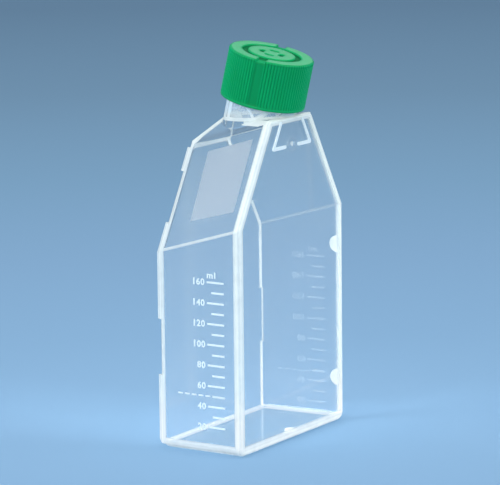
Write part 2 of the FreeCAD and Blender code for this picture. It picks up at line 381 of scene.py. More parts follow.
def larger(tree, a, b):
    return maths(tree, "MAXIMUM", a, b)


def smaller(tree, a, b):
    return maths(tree, "MINIMUM", a, b)


def below(tree, value, limit):
    """1 where the value is below the limit, else 0."""
    return maths(tree, "LESS_THAN", value, limit)


def above(tree, value, limit):
    return maths(tree, "GREATER_THAN", value, limit)


def distance_from(tree, value, level):
    return maths(tree, "ABSOLUTE", minus(tree, value, level))


def total(tree, terms):
    result = terms[0]
    for term in terms[1:]:
        result = maths(tree, "ADD", result, term)
    return result


def vector_maths(tree, operation, *vectors, result="Vector"):
    """An operation on vectors. Its result is a vector, or with result="Value" a number."""
    return add(tree, "ShaderNodeVectorMath", dict(enumerate(vectors)), operation=operation).outputs[result]


def dot(tree, vector, fixed):
    return vector_maths(tree, "DOT_PRODUCT", vector, fixed, result="Value")


def spread(tree, value, low, high, to_low, to_high):
    """A value mapped from one range to another and held there."""
    inputs = {"Value": value, "From Min": low, "From Max": high, "To Min": to_low, "To Max": to_high}
    return add(tree, "ShaderNodeMapRange", inputs).outputs["Result"]


def ramp(tree, value, stops):
    """A colour, or a grey of one number, between the stops (place, colour)."""
    made = add(tree, "ShaderNodeValToRGB", {0: value})
    for _ in range(len(stops) - 2):
        made.color_ramp.elements.new(0.5)
    for element, (place, colour) in zip(made.color_ramp.elements, stops):
        element.position = place
        element.color = (*colour, 1) if hasattr(colour, "__len__") else (colour, colour, colour, 1)
    return made.outputs[0]


def noise(tree, place, scale, detail, roughness=0.5):
    inputs = {"Vector": place, "Scale": scale, "Detail": detail, "Roughness": roughness}
    return add(tree, "ShaderNodeTexNoise", inputs).outputs[0]


def varied(tree, grain, low, high, least=0.3, most=0.7):
    """A value that drifts from low to high over the surface with a noise."""
    return spread(tree, grain, least, most, low, high)


def bsdf(tree, kind, inputs=None):
    return add(tree, "ShaderNodeBsdf" + kind, inputs).outputs[0]


def blend(tree, share, first, second):
    """Two shaders, with the second one's share."""
    return add(tree, "ShaderNodeMixShader", {0: share, 1: first, 2: second}).outputs[0]


def bumps(tree, height, strength, distance, **inputs):
    """The surface's normals, with fine bumps of a depth in metres."""
    inputs.update(Height=height, Strength=strength, Distance=distance)
    return add(tree, "ShaderNodeBump", inputs).outputs[0]


def shadow_ray(tree):
    return add(tree, "ShaderNodeLightPath").outputs["Is Shadow Ray"]


def new_material(name):
    material = bpy.data.materials.new(name)
    material.use_nodes = True
    material.node_tree.nodes.clear()
    return material, material.node_tree


def output(tree, shader):
    add(tree, "ShaderNodeOutputMaterial", {"Surface": shader})


def millimetres(tree):
    """The object's own coordinates, in millimetres."""
    coordinates = add(tree, "ShaderNodeTexCoord").outputs["Object"]
    return vector_maths(tree, "MULTIPLY", coordinates, (1 / MM, 1 / MM, 1 / MM))


def linear(red, green, blue):
    """A linear colour from 0 to 255 display values."""
    return tuple(((c / 255 + 0.055) / 1.055) ** 2.4 for c in (red, green, blue))


# -------- looks, with lengths in millimetres
INK_TINT = (0.88, 0.96, 0.97, 1)
INK_TRANSLUCENCE = 0.3
CLEAR_TINT = (0.98, 0.99, 1.0, 1)
CLEAR_TINTS = [(0.0, (0.9, 0.9, 0.89)), (1.0, CLEAR_TINT[:3])]       # of the base and above it
# Tints of the painted highlights, the bright bands at the base, above it and on the neck, and the heights
# that 0 and 1 stand for.
PAINTED_HIGHLIGHT_TINTS = [(0.0, (0.9, 0.88, 0.82)), (0.11, (0.87, 0.91, 0.86)), (0.88, (0.87, 0.91, 0.86)),
              (0.9, (0.82, 0.94, 1.0))]
PAINTED_HIGHLIGHT_HEIGHTS = (12.0, 140.0)
# Painted highlights, as bright bands along a wall's edges: for its kind, (width, strength) beside each
# neighbour, seen from outside and from inside.
NEAR_EDGES = {
    "wall": {"cover": (2.9, 1.0), "growth": (3.4, 1.0), "base": (4.4, 0.95), "side": (0.35, 0.7),
             "slant": (0.35, 0.7), "facet": (0.5, 0.0), "ramp": (2.4, 1.0), "platform": (0.5, 0.0)},
    "cover": {"growth": (2.4, 0.0), "base": (4.2, 1.0), "side": (3.3, 1.0), "slant": (3.0, 1.0),
              "facet": (2.4, 1.0), "ramp": (2.4, 0.0), "platform": (2.4, 1.0)},
    "growth": {"cover": (1.5, 0.0), "base": (2.5, 1.0), "side": (2.5, 1.0), "slant": (2.5, 1.0),
               "facet": (1.0, 0.8), "ramp": (0.8, 0.8), "platform": (1.0, 0.0)},
    "base": {"cover": (2.7, 1.0), "growth": (2.5, 1.0), "side": (2.6, 0.95), "slant": (1.0, 0.0),
             "facet": (1.0, 0.0), "ramp": (1.0, 0.0), "platform": (1.0, 0.0)},
}
FAR_EDGES = {
    "wall": {"cover": (3.9, 0.9), "growth": (0.3, 0.3), "base": (1.9, 0.6), "side": (0.4, 0.3),
             "slant": (0.4, 0.3), "facet": (0.5, 0.8), "ramp": (0.5, 0.8), "platform": (0.5, 0.0)},
    "cover": NEAR_EDGES["cover"],
    "growth": {"cover": (1.0, 0.0), "base": (2.4, 0.65), "side": (1.4, 0.75), "slant": (1.4, 0.75),
               "facet": (0.8, 0.8), "ramp": (1.9, 0.85), "platform": (1.0, 0.0)},
    "base": {"cover": (2.7, 1.0), "growth": (1.7, 0.6), "side": (2.2, 0.6), "slant": (1.0, 0.0),
             "facet": (1.0, 0.0), "ramp": (1.0, 0.0), "platform": (1.0, 0.0)},
}
WALLS = ("side", "slant", "facet", "ramp", "platform")
# How bright a painted highlight band is, from the edge inwards.
BAND_PROFILE = [(0.0, 0.84), (0.1, 0.84), (0.28, 1.0), (0.42, 1.0), (0.56, 0.86), (0.7, 0.92),
                (0.82, 0.75), (0.92, 0.4), (1.0, 0.0)]
SAME_WALL = 0.02           # a surface is a wall's if no other plane is nearer by more than this
APART = 0.0005             # a wall's own plane, which is nearer than this, gives it no band
NO_WIDTH = 0.001           # keeps a band without width from dividing by zero
OUTER_DEPTH = 1.2          # deeper surfaces are the cavity's, and carry no bands
FACET_CLEARANCE = 0.8      # the facets get no band from the shoulders beside them
RAIL_DEPTH = 0.2           # less deep surfaces are the growth face's and its rails'
RAIL_GLOW_WIDTH = 1.35     # in from the thin sides, where a rail runs
FOOT_GLOW = (16.0, 24.0, 1.0, 0.9)   # the bands are full up to one height, and at 0.9 from the other
# Gloss by depth inside a wall's plane: none on the base, ramp and facets, little on the growth face.
BASE_GLOSS = (WALL + 0.1, BASE_RADIUS, 0.0, 1.0)
ROOF_GLOSS = (WALL + 1.6, WALL + 3.6, 0.0, 1.0)
GROWTH_GLOSS = (WALL + 0.1, WALL + 1.5, 0.3, 1.0)
BASE_TINT_DEPTHS = (WALL + 0.05, WALL + 0.3)
# share of the painted highlight's white that is lit through from behind
BAND_TRANSLUCENCE = 0.2
SHADOW_PASS = 0.97         # share of the light that the clear walls let through
BAND_SHADOW = 0.4          # what a bright band takes of it

# Painted highlights at the neck: a ring at its foot, the fillets in front and its outline.
RING_RISE = 0.2            # of the bright ring at the neck's foot, above the platform
RING_HALF_HEIGHT = (0.6, 0.8)        # up to which it is full, and at which it ends
RING_HALF_WIDTH = (0.8, 1.3)
FILLET_FRONT = NECK_Y - 0.4          # the bright fillets at the neck lie in front of this, on the facets
FILLET_THICKNESS = 0.5
FILLET_REACH = 2.0         # down from the platform
FILLET_GLOW = 0.95
NECK_START = 0.6           # above the platform
NECK_REACH = 15.0          # from the neck's axis
NECK_SKIN = 0.5            # surfaces within this of the neck's radius are its outside
NECK_HAZE = 0.17
# Painted highlight outline of the neck's outside, by how far the surface turns away from the view.
NECK_OUTLINE = [(0.0, 0.0), (0.42, 0.0), (0.46, 1.0), (0.56, 1.0), (0.59, 0.5), (0.65, 0.5), (0.68, 1.0),
                (1.0, 1.0)]

RAISED = 0.1               # surfaces this far off the cover's two faces are its marks and its lugs
# Strengths of the painted highlights on the fill mark's dot and ring and on the lugs.
DOT_FADE = (1.1, 1.3)      # from the fill mark's centre
DOT_GLOW = 0.6
MARK_GLOW = 0.1
BASE_LUG_REACH = 3.0       # above the base's inside
BASE_LUG_GLOW = 0.95
SIDE_LUG_GLOW = 0.6

GREENS = [(0.3, linear(0, 156, 91)), (0.7, linear(2, 162, 96))]
# Painted shade: the darker green in the cap's groove, its notches and the flutes, with the fades and
# shares below.
PAINTED_SHADE_GREEN = (*linear(0, 116, 64), 1)
GROOVE_FADE = (0.2, 0.5)   # up and down from the groove's floor
GROOVE_EDGE = 0.5
NOTCH_SHADE = 0.15         # share of the groove's shade in the notches outside it
FLUTE_FADE = (0.05, 0.15)  # outwards from the flutes' floor
FLUTE_SHADE = 0.45
FLUTE_SKIN = 0.15          # surfaces further in than this aren't the cap's side
COLOUR_A, COLOUR_B, MIXED_COLOUR = 6, 7, 2           # a Mix node's colour sockets


def wall_depths(tree, place):
    """How far a point lies inside each wall's plane, both halves folded onto +X, and its height."""
    split = add(tree, "ShaderNodeSeparateXYZ", {0: place})
    x, y, z = split.outputs
    folded = add(tree, "ShaderNodeCombineXYZ", {0: maths(tree, "ABSOLUTE", x), 1: y, 2: z}).outputs[0]
    planes = {"cover": cover_plane, "growth": growth_plane, "base": base_plane, "side": side_plane,
              "slant": slant_plane, "facet": facet_plane, "ramp": ramp_plane, "platform": platform_plane}
    depths = {name: minus(tree, normal.dot(point), dot(tree, folded, normal))
              for name, (point, normal) in planes.items()}
    return depths, z


def between_rails(tree, height):
    """1 at the heights where the growth face's long edges carry no rail, up to the shoulders."""
    spans = [below(tree, height, RAIL_SPANS[0][0])]
    for (_, low), (high, _) in zip(RAIL_SPANS[:-2], RAIL_SPANS[1:]):
        spans.append(times(tree, above(tree, height, low), below(tree, height, high)))
    return total(tree, spans)


def edge_glow(tree, depths, height):
    """Painted highlights: how bright an edge the surface is painted, 0 on the clear faces, 1 at the weld
    and the corners.
    """
    own = depths["cover"]
    for name in NEAR_EDGES["cover"]:
        own = smaller(tree, own, depths[name])
    kinds = {}
    for name in ("cover", "growth", "base"):
        kinds[name] = below(tree, minus(tree, depths[name], own), SAME_WALL)
    kinds["wall"] = minus(tree, 1.0, total(tree, list(kinds.values())), clamp=True)
    inside = add(tree, "ShaderNodeNewGeometry").outputs["Backfacing"]
    open_edge = between_rails(tree, height)
    behind_rail = times(tree, inside, minus(tree, 1.0, open_edge))
    painted_highlight = 0.0
    for name, depth in depths.items():
        widths, strengths = [], []
        for kind, share in kinds.items():
            if name == kind:
                continue
            near, far = NEAR_EDGES[kind][name], FAR_EDGES[kind][name]
            for found, index in ((widths, 0), (strengths, 1)):
                mixed = spread(tree, inside, 0.0, 1.0, near[index], far[index])
                found.append(times(tree, share, mixed))
        away = minus(tree, depth, own)
        reach = maths(tree, "DIVIDE", away, total(tree, widths + [NO_WIDTH]))
        profile = ramp(tree, reach, BAND_PROFILE)
        strength = total(tree, strengths)
        if name in WALLS:
            strength = times(tree, strength, above(tree, away, APART))
        if name in ("side", "slant"):
            on_growth = times(tree, kinds["growth"], behind_rail)
            strength = minus(tree, strength, on_growth, clamp=True)
        if name == "growth":
            strength = minus(tree, strength, behind_rail, clamp=True)
        if name == "slant":
            strength = times(tree, strength, above(tree, depths["facet"], FACET_CLEARANCE))
        painted_highlight = larger(tree, times(tree, profile, strength), painted_highlight)
    # Painted highlight along the growth face's long edges where the rails run.
    by_edge = below(tree, smaller(tree, depths["side"], depths["slant"]), RAIL_GLOW_WIDTH)
    rails = times(tree, below(tree, depths["growth"], RAIL_DEPTH), by_edge)
    rails = times(tree, rails, minus(tree, 1.0, open_edge))
    return larger(tree, times(tree, painted_highlight, below(tree, own, OUTER_DEPTH)), rails)


def clear_plastic(name, extra):
    """Clear polystyrene with painted highlights: white bands on its edges and weld stand in for the light
    they catch. extra(tree, place, depths) gives more painted highlight and haze as (highlight, haze)."""
    material, tree = new_material(name)
    place = millimetres(tree)
    depths, height = wall_depths(tree, place)
    more_painted_highlight, more_haze = extra(tree, place, depths)

    streaks = varied(tree, noise(tree, place, scale=0.16, detail=4.0), 0.88, 1.0, most=0.55)
    painted_highlight = larger(tree, edge_glow(tree, depths, height), more_painted_highlight)
    painted_highlight = times(tree, painted_highlight, times(tree, spread(tree, height, *FOOT_GLOW), streaks))
    haze = varied(tree, noise(tree, place, scale=0.05, detail=3.0), 0.018, 0.026)
    haze = total(tree, [haze, more_haze])
    waves = bumps(tree, noise(tree, place, scale=0.09, detail=2.0), strength=0.01, distance=0.0002)
    roof = smaller(tree, depths["ramp"], depths["facet"])
    gloss = times(tree, spread(tree, depths["base"], *BASE_GLOSS), spread(tree, roof, *ROOF_GLOSS))
    gloss = times(tree, gloss, spread(tree, depths["growth"], *GROWTH_GLOSS))
    clear = bsdf(tree, "Principled", {
        "Base Color": ramp(tree, spread(tree, depths["base"], *BASE_TINT_DEPTHS, 0.0, 1.0), CLEAR_TINTS),
        "Roughness": varied(tree, noise(tree, place, scale=0.8, detail=5.0), 0.01, 0.04, most=0.8),
        "IOR": 1.1, "Transmission Weight": 1.0, "Coat Weight": gloss, "Coat Roughness": 0.02,
        "Coat IOR": 1.5, "Coat Normal": waves})

    # The painted highlight's white, partly lit through from behind, mixed over the clear plastic by the
    # bands and the haze.
    tint = ramp(tree, spread(tree, height, *PAINTED_HIGHLIGHT_HEIGHTS, 0.0, 1.0), PAINTED_HIGHLIGHT_TINTS)
    white = bsdf(tree, "Principled", {"Base Color": tint, "Roughness": 0.3, "Normal": waves})
    lit_through = bsdf(tree, "Translucent", {"Color": tint})
    bright = blend(tree, BAND_TRANSLUCENCE, white, lit_through)
    surface = blend(tree, larger(tree, painted_highlight, haze), clear, bright)

    open_air = bsdf(tree, "Transparent", {"Color": CLEAR_TINT})
    letting = times(tree, shadow_ray(tree), minus(tree, SHADOW_PASS, times(tree, painted_highlight, BAND_SHADOW)))
    output(tree, blend(tree, letting, surface, open_air))
    return material


def neck_coordinates(tree, place):
    """Height along the neck's axis and distance from it."""
    offset = vector_maths(tree, "SUBTRACT", place, neck_foot)
    along = dot(tree, offset, neck_axis)
    full = vector_maths(tree, "LENGTH", offset, result="Value")
    square = minus(tree, times(tree, full, full), times(tree, along, along))
    return along, maths(tree, "SQRT", larger(tree, square, 0.0))


def neck_glow(tree, place, depths):
    """Painted highlights: the bright ring and the front fillets at the neck's foot, and the neck's bright
    outline.
    """
    platform = depths["platform"]
    radius = neck_coordinates(tree, place)[1]
    level = spread(tree, distance_from(tree, platform, -RING_RISE), *RING_HALF_HEIGHT, 1.0, 0.0)
    near = spread(tree, distance_from(tree, radius, NECK_RADIUS), *RING_HALF_WIDTH, 1.0, 0.0)
    ring = times(tree, level, near)

    front = below(tree, dot(tree, place, (0, 1, 0)), FILLET_FRONT)
    on_facet = below(tree, maths(tree, "ABSOLUTE", depths["facet"]), FILLET_THICKNESS)
    high = below(tree, platform, FILLET_REACH)
    fillet = times(tree, times(tree, front, on_facet), times(tree, high, FILLET_GLOW))

    on_neck = times(tree, below(tree, platform, -NECK_START), below(tree, radius, NECK_REACH))
    outside = times(tree, on_neck, above(tree, radius, NECK_RADIUS - NECK_SKIN))
    facing = add(tree, "ShaderNodeLayerWeight", {"Blend": 0.5}).outputs["Facing"]
    outline = times(tree, outside, ramp(tree, facing, NECK_OUTLINE))
    painted_highlight = larger(tree, larger(tree, ring, fillet), outline)
    return painted_highlight, times(tree, on_neck, NECK_HAZE)


def cover_marks(tree, place, depths):
    """Painted highlights on the cover's raised marks and locating lugs."""
    centre = vector_maths(tree, "DISTANCE", place, (0, FRONT_Y, MARK_CENTRE), result="Value")
    marks = times(tree, below(tree, depths["cover"], -RAISED),
                  spread(tree, centre, *DOT_FADE, DOT_GLOW, MARK_GLOW))
    at_base = below(tree, depths["base"], WALL + BASE_LUG_REACH)
    lugs = times(tree, above(tree, depths["cover"], COVER_THICKNESS + RAISED),
                 spread(tree, at_base, 0.0, 1.0, SIDE_LUG_GLOW, BASE_LUG_GLOW))
    return larger(tree, marks, lugs), 0.0


def green_plastic():
    """Green plastic, with painted shade in the top's groove, its notches and the flutes of the side."""
    material, tree = new_material("green_cap_plastic")
    place = millimetres(tree)
    along, radius = neck_coordinates(tree, place)
    sunk = spread(tree, distance_from(tree, along, GROOVE_LEVEL), *GROOVE_FADE, 1.0, 0.0)
    groove = spread(tree, radius, GROOVE_RADIUS, GROOVE_RADIUS + GROOVE_EDGE, 1.0, NOTCH_SHADE)
    flute_start, flute_end = (FLUTE_RADIUS + step for step in FLUTE_FADE)
    flute = times(tree, spread(tree, radius, flute_start, flute_end, FLUTE_SHADE, 0.0),
                  above(tree, radius, FLUTE_RADIUS - FLUTE_SKIN))
    # Painted shade of the recesses, from the groove, notches and flutes.
    painted_shade = larger(tree, times(tree, sunk, groove), flute)
    colour = add(tree, "ShaderNodeMix", {
        "Factor": painted_shade, COLOUR_A: ramp(tree, noise(tree, place, scale=0.12, detail=3.0), GREENS),
        COLOUR_B: PAINTED_SHADE_GREEN}, data_type="RGBA").outputs[MIXED_COLOUR]

    grain = noise(tree, place, scale=9.0, detail=4.0)
    soft = add(tree, "ShaderNodeBevel", {"Radius": 0.0012}, samples=8).outputs[0]
    rough = total(tree, [varied(tree, grain, 0.3, 0.42), times(tree, sunk, 0.4)])
    output(tree, bsdf(tree, "Principled", {
        "Base Color": colour, "Roughness": rough, "IOR": 1.5, "Specular IOR Level": 0.12,
        "Subsurface Weight": 0.5, "Subsurface Radius": (0.6, 1.0, 0.7), "Subsurface Scale": 0.0015,
        "Normal": bumps(tree, grain, strength=0.1, distance=0.00003, Normal=soft)}))
    return material


def membrane_material():
    material, tree = new_material("vent_membrane")
    pores = noise(tree, millimetres(tree), scale=14.0, detail=5.0, roughness=0.7)
    colour = ramp(tree, pores, [(0.3, (0.78, 0.79, 0.8)), (0.7, (0.92, 0.92, 0.92))])
    normal = bumps(tree, pores, strength=0.4, distance=0.00005)
    output(tree, bsdf(tree, "Principled", {"Base Color": colour, "Roughness": 0.9, "Normal": normal}))
    return material


def ink(name, opacity):
    """White ink, with the clear wall partly showing through it."""
    material, tree = new_material(name)
    speckle = varied(tree, noise(tree, millimetres(tree), scale=3.0, detail=4.0), 0.9 * opacity, opacity)
    white = bsdf(tree, "Principled", {"Base Color": INK_TINT, "Roughness": 0.5})
    lit_through = bsdf(tree, "Translucent", {"Color": INK_TINT})
    open_air = bsdf(tree, "Transparent")
    bright = blend(tree, INK_TRANSLUCENCE, white, lit_through)
    output(tree, blend(tree, speckle, open_air, bright))
    return material


def frosting():
    """The etched writing field: it blurs what lies behind it and looks pale."""
    material, tree = new_material("frosting")
    grain = noise(tree, millimetres(tree), scale=5.0, detail=5.0, roughness=0.6)
    etched = bsdf(tree, "Principled", {
        "Base Color": (0.93, 0.93, 0.93, 1), "Roughness": varied(tree, grain, 0.33, 0.38), "IOR": 1.3,
        "Transmission Weight": 1.0})
    white = bsdf(tree, "Diffuse", {"Color": INK_TINT})
    open_air = bsdf(tree, "Transparent", {"Color": (0.85, 0.86, 0.87, 1)})
    surface = blend(tree, varied(tree, grain, 0.0, 0.03), etched, white)
    output(tree, blend(tree, shadow_ray(tree), surface, open_air))
    return material


# -------- clear body and cover
FAR = 200.0                # beyond every part of the flask
SLIP = 0.002               # keeps the faces that two joined forms share from lying in one plane
SUNK = 0.2                 # of a raised mark in the cover
LUG_ROOT = 0.5             # of a lug in the cover
CLEARANCE = 3.0            # of a cutting solid outside what it cuts
LID_RISE = 4.0             # top of the body's solid, above the cover face
SPARE = 30.0               # what the shoulders' solid has behind the growth face and below the base
CORNER_SEGMENTS = 12
EDGE_SEGMENTS = 5
NECK_SEGMENTS = 128
RING_SEGMENTS = 64
LUG_SEGMENTS = 48
DOT_SEGMENTS = 32
BAR_END_SEGMENTS = 8
ON_BASE = 0.01             # how far off the base's plane an end of its edges may lie
MARGIN = 1.0               # tells ends on the lid, the spare part or the sides from others
LEAST_BEND = math.radians(12)        # edges that bend less stay sharp
# Shares of a normal along an axis: its face is square to it, leans towards it, or does neither.
SQUARE_ON, LEANING, LEVEL = 0.999, 0.3, 0.1


def form_planes(inset, back, front):
    """The flask's outline as planes, moved inwards."""
    whole = (base_plane, ramp_plane, platform_plane)
    planes = [(point - normal * inset, normal) for point, normal in whole]
    planes += [(Vector((0, back, 0)), growth_plane[1]), (Vector((0, front, 0)), cover_plane[1])]
    for point, normal in (side_plane, slant_plane, facet_plane):
        moved = point - normal * inset
        planes += [(moved, normal), (mirrored(moved), mirrored(normal))]
    return planes


def form(name, inset, back, front, corner, edge, rim, behind):
    """The flask's outline with rounded edges: rim round the cover face, behind round the growth face.
    It is what two convex solids share, one of the body and one of the shoulders beside the neck."""
    (base, ramped, platform, growth, covered, side, other_side, slant, other_slant, facet,
     other_facet) = form_planes(inset, back, front)
    lid = (Vector((0, 0, TOP_HEIGHT + LID_RISE)), Vector((0, 0, 1)))
    outer = [(point + normal * SLIP, normal) for point, normal in (covered, slant, other_slant)]
    spare = [(Vector((0, back + SPARE, 0)), growth_plane[1]), (Vector((0, 0, -SPARE)), base_plane[1])]

    def corner_radius(ends, _):
        """Only the edges between the base and the thin sides."""
        a, b = ends
        on_base = max(abs(a.z - inset), abs(b.z - inset)) < ON_BASE
        along_side = abs(a.x) > MARGIN and abs(a.x - b.x) < 2 * DRAFT
        return corner if on_base and along_side else 0.0

    def edge_radius(ends, normals):
        """All other edges. Those of the lid and of the spare part, which are cut off, stay sharp."""
        on_lid = max(end.z for end in ends) > TOP_HEIGHT + LID_RISE - MARGIN
        beyond = max(end.y for end in ends) > back + MARGIN or min(end.z for end in ends) < -MARGIN
        if normals[0].angle(normals[1]) < LEAST_BEND:
            return 0.0
        if any(abs(n.z) > SQUARE_ON for n in normals) and (on_lid or beyond):
            return 0.0
        on_top = any(abs(n.x) < LEVEL and n.z > LEANING for n in normals)
        if any(n.y < -SQUARE_ON for n in normals):
            return min(rim, TOP_RADIUS) if on_top else rim
        if any(n.y > SQUARE_ON for n in normals):
            return 0.0 if beyond else behind
        if on_top and beyond:
            return 0.0
        between_slopes = all(n.z > LEANING and abs(n.x) > LEANING for n in normals)
        return SOFT_RADIUS - inset if between_slopes else edge

    body = convex_solid(name, [base, growth, covered, side, other_side, slant, other_slant, lid])
    bevel_edges(bevel_edges(body, corner_radius, CORNER_SEGMENTS), edge_radius, EDGE_SEGMENTS)
    head = convex_solid("head", [ramped, platform, facet, other_facet] + outer + spare)
    bevel_edges(head, edge_radius, EDGE_SEGMENTS)
    return combine(body, [head], "INTERSECT")


def outer_form(name, inset=0.0, back=BACK_Y):
    return form(name, inset, back, FRONT_Y, BASE_RADIUS, EDGE_RADIUS, RIM_RADIUS, GROWTH_RADIUS)


def side_of_seam(low, high):
    return box("side_of_seam", (-FAR, low, -FAR), (FAR, high, FAR))


def rail_strip(sign):
    """The band along one long edge of the growth face, with more outside that the outline cuts off."""
    fold, top = (Vector((point.x, 0, point.z)) for point in (fold_back, top_back))
    slope = (top - fold).normalized()
    across = Vector((-slope.z, 0, slope.x))
    shoulder = fold.z + RAIL_WIDTH * (across.z - (1 + across.x) / slope.x * slope.z)
    tip = top + slope * RAIL_WIDTH
    tip_outside, tip_inside = tip - across * RAIL_SPARE, tip + across * RAIL_WIDTH
    outline = [(fold.x + RAIL_SPARE, 0), (fold.x + RAIL_SPARE, fold.z), (tip_outside.x, tip_outside.z),
               (tip_inside.x, tip_inside.z), (fold.x - RAIL_WIDTH, shoulder), (fold.x - RAIL_WIDTH, 0)]
    points = [Vector((sign * x, BACK_Y - GROWTH_RADIUS, z)) for x, z in outline]
    return prism("rail_strip", points, Vector((0, GROWTH_RADIUS + RAIL_HEIGHT + RAIL_OVER, 0)))


def rails():
    made = []
    for sign in (-1, 1):
        for low, high in RAIL_SPANS:
            strip = rail_strip(sign)
            deep = outer_form("deep", 2 * SLIP, BACK_Y + RAIL_HEIGHT)
            span = box("span", (-FAR, -FAR, low), (FAR, FAR, high))
            made.append(combine(strip, [deep, span], "INTERSECT"))
    return made


def flask_shell():
    """The moulded body with its rails, neck and thread."""
    shell = outer_form("flask_shell")
    combine(shell, [side_of_seam(SEAM_Y + SEAM_GAP, FAR)], "INTERSECT")
    neck = cylinder("neck", NECK_RADIUS, -NECK_ROOT, NECK_LENGTH, neck_matrix, NECK_SEGMENTS)
    front = convex_solid("front", form_planes(-SEAM_GAP, BACK_Y, FRONT_Y - CLEARANCE))
    combine(front, [side_of_seam(-FAR, SEAM_Y + SEAM_GAP)], "INTERSECT")
    combine(neck, [front], "DIFFERENCE")
    ridge = thread("thread", NECK_RADIUS, NECK_RADIUS + THREAD_HEIGHT, THREAD_LOW, THREAD_HIGH)
    combine(shell, [neck] + rails() + [ridge], "UNION")
    cavity = form("cavity", WALL, BACK_Y - WALL, FRONT_Y - CLEARANCE, BASE_RADIUS - WALL, INNER_RADIUS,
                  0.0, GROWTH_RADIUS - WALL)
    bore = cylinder("bore", BORE_RADIUS, -BORE_ROOT, NECK_LENGTH + CLEARANCE, neck_matrix, NECK_SEGMENTS)
    return combine(shell, [cavity, bore], "DIFFERENCE")


def bar(a, b, width, y, height):
    """A raised line with round ends between (x, z) points, towards -Y."""
    along = math.atan2(b[1] - a[1], b[0] - a[0])
    outline = []
    for centre, turn in ((b, -90), (a, 90)):
        for step in range(BAR_END_SEGMENTS + 1):
            t = along + math.radians(turn + 180 / BAR_END_SEGMENTS * step)
            x, z = centre[0] + width / 2 * math.cos(t), centre[1] + width / 2 * math.sin(t)
            outline.append(Vector((x, y, z)))
    return prism("bar", outline, Vector((0, -height, 0)))


def brackets(width, y, height):
    """The fill mark's two brackets, each as a slanted bar and a level one."""
    made = []
    for sign in (-1, 1):
        top, corner, end = ((sign * x, z) for x, z in (
            (BRACKET_TOP_X, BRACKET_HIGH), (BRACKET_CORNER_X, BRACKET_LOW), (BRACKET_END_X, BRACKET_LOW)))
        made.append([bar(top, corner, width, y, height), bar(corner, end, width, y, height)])
    return made


def flask_cover():
    """The welded cover with its fill mark and lugs."""
    cover = outer_form("flask_cover")
    combine(cover, [side_of_seam(-FAR, SEAM_Y)], "INTERSECT")
    outward = Matrix.Translation((0, FRONT_Y + SUNK, MARK_CENTRE)) @ Matrix.Rotation(math.pi / 2, 4, "X")
    height = MARK_RELIEF + SUNK
    ring = cylinder("ring", MARK_RING_RADIUS, 0, height, outward, RING_SEGMENTS)
    hole = cylinder("hole", MARK_RING_RADIUS - MARK_LINE, -1, height + 1, outward, RING_SEGMENTS)
    combine(ring, [hole], "DIFFERENCE")
    parts = [ring, cylinder("dot", MARK_DOT_RADIUS, 0, height, outward, DOT_SEGMENTS)]
    for slanted, level in brackets(MARK_LINE, FRONT_Y + SUNK, height):
        parts.append(combine(slanted, [level], "UNION"))

    lean = DRAFT * (COVER_THICKNESS + LUG_RADIUS) / (BACK_Y - FRONT_Y)
    outside = HALF_WIDTH + DRAFT - lean - WALL - LUG_GAP
    sideways = Matrix.Rotation(math.pi / 2, 4, "Y")
    lugs = []
    for z in SIDE_LUG_HEIGHTS:
        place = Matrix.Translation((outside - LUG_THICKNESS, SEAM_Y, z)) @ sideways
        lugs.append(cylinder("lug", LUG_RADIUS, 0, LUG_THICKNESS, place, LUG_SEGMENTS))
    place = Matrix.Translation((0, SEAM_Y, WALL + LUG_GAP))
    lugs.append(cylinder("lug", BASE_LUG_RADIUS, 0, BASE_LUG_HEIGHT, place, LUG_SEGMENTS))
    for lug in lugs:
        combine(lug, [side_of_seam(SEAM_Y - LUG_ROOT, FAR)], "INTERSECT")
    return combine(cover, parts + lugs, "UNION")


shell = mended(flask_shell())
dressed(shell, clear_plastic("clear_body_plastic", neck_glow), "flask")
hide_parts("flask_body")
cover = mended(flask_cover())
dressed(cover, clear_plastic("clear_cover_plastic", cover_marks), "flask")
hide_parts("cover_plate")


# -------- cap and membrane
def repaint(node, material):
    target = frame["nodes"][node]
    target.data.materials.clear()
    target.data.materials.append(material)


green = green_plastic()
repaint("screw_cap", green)
repaint("filter_membrane", membrane_material())
cap_thread = thread("cap_thread", CAP_HOLLOW_RADIUS, CAP_HOLLOW_RADIUS - THREAD_HEIGHT,
                    THREAD_LOW + THREAD_PITCH / 2, THREAD_HIGH)
dressed(cap_thread, green, "cap")


# -------- printed scale and writing field
GLYPH_WEIGHT = 0.3         # thickens the strokes of a glyph of size 10
GLYPH_STRETCH = 1.1        # widest, against its height


def side_frame(sign):
    """A frame on a thin side's outside: X to the reader's right, Y up and Z outward."""
    normal = Vector((sign * side_plane[1].x, side_plane[1].y, 0))
    right = Vector((0, 0, 1)).cross(normal).normalized()
    middle = Vector((sign * (HALF_WIDTH + DRAFT / 2), 0, 0)) + normal * INK_LIFT
    turned = Matrix((right, Vector((0, 0, 1)), normal)).transposed().to_4x4()
    return Matrix.Translation(middle) @ turned


def stroke(bm, x_low, x_high, y, width):
    """A flat printed line."""
    bottom, top = y - width / 2, y + width / 2
    outline = [(x_low, bottom), (x_high, bottom), (x_high, top), (x_low, top)]
    low = [bm.verts.new((*corner, 0)) for corner in outline]
    high = [bm.verts.new((*corner, INK_THICKNESS)) for corner in outline]
    bm.faces.new(low[::-1])
    bm.faces.new(high)
    for i in range(4):
        j = (i + 1) % 4
        bm.faces.new((low[i], low[j], high[j], high[i]))


